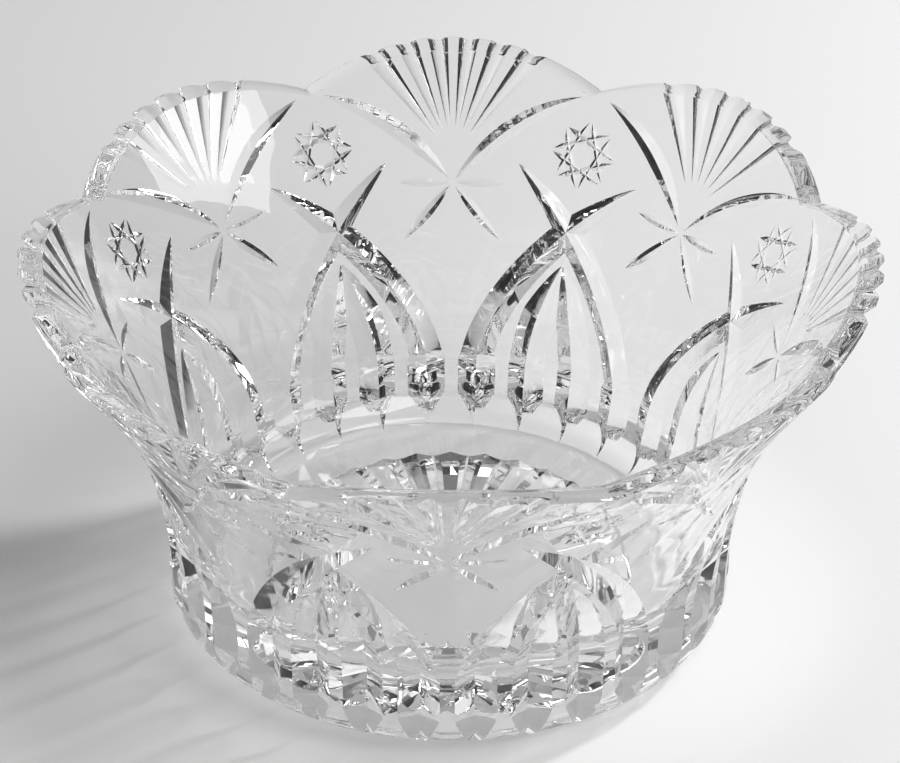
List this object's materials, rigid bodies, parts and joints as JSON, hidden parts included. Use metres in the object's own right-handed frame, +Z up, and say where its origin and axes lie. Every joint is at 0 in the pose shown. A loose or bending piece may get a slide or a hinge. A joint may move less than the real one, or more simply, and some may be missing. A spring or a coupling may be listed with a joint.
{
  "type": "salad bowl",
  "caption": "Deep flared salad bowl of clear cut glass with a lobed, toothed rim, fans, stars and arches cut in the wall, and a fluted base on a foot ring.",
  "frame": {"origin": "centre of the foot ring, on the surface that the bowl stands on", "axes": "+Z up along the bowl's axis, -Y towards the middle of one lobe of the rim, the lobe nearest the viewer in the picture"},
  "size_m": [0.2508, 0.2508, 0.1196],
  "materials": {
    "glass": "clear, polished"
  },
  "bodies": {
    "root": {"bowl": "glass"}
  },
  "joints": []
}
